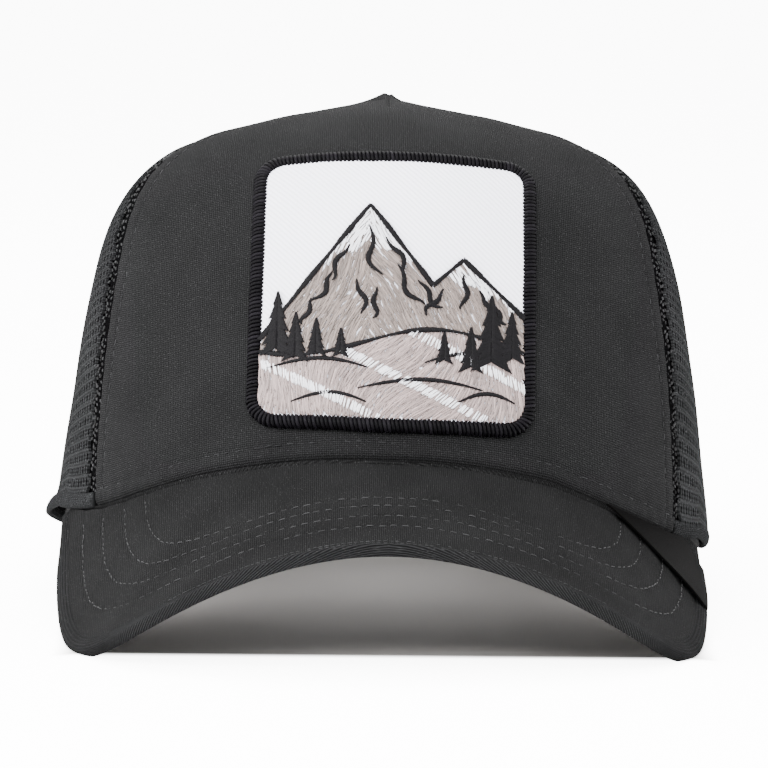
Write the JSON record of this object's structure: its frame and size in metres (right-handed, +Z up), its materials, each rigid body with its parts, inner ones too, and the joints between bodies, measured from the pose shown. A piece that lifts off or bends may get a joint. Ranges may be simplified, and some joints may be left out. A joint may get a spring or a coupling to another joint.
{
  "type": "trucker hat",
  "caption": "Trucker cap with a foam-backed canvas front, net rear panels, curved stitched visor, square embroidered mountain patch and rear snap strap.",
  "frame": {"origin": "middle of the hat's box, on the surface that it rests on", "axes": "+Z up, -Y the way the hat faces, +X toward the wearer's left"},
  "size_m": [0.177, 0.2488, 0.1323],
  "materials": {
    "canvas": "matte charcoal cotton canvas in a plain weave",
    "net": "charcoal polyester net with a soft sheen",
    "band_cloth": "matte charcoal cotton twill",
    "tape": "matte charcoal ribbed tape",
    "strap_plastic": "satin black polyethylene",
    "visor_cloth": "matte charcoal cotton canvas with rows of topstitching",
    "ribbon": "black satin ribbon with a fine cross rib",
    "patch_cloth": "white patch twill",
    "thread_black": "glossy black embroidery thread",
    "thread_mauve": "mauve-grey embroidery thread",
    "thread_taupe": "taupe embroidery thread",
    "thread_white": "white embroidery thread"
  },
  "bodies": {
    "root": {"front_panel": "canvas", "side_mesh_left": "net", "side_mesh_right": "net", "back_mesh_left": "net", "back_mesh_right": "net", "sweatband": "band_cloth", "arch_binding": "tape", "snap_strap": "strap_plastic", "visor": "visor_cloth", "visor_binding": "tape", "visor_label": "ribbon", "patch_ground": "patch_cloth", "patch_border": "thread_black", "patch_hills": "thread_mauve", "patch_peaks": "thread_taupe", "patch_snow": "thread_white"}
  },
  "joints": []
}
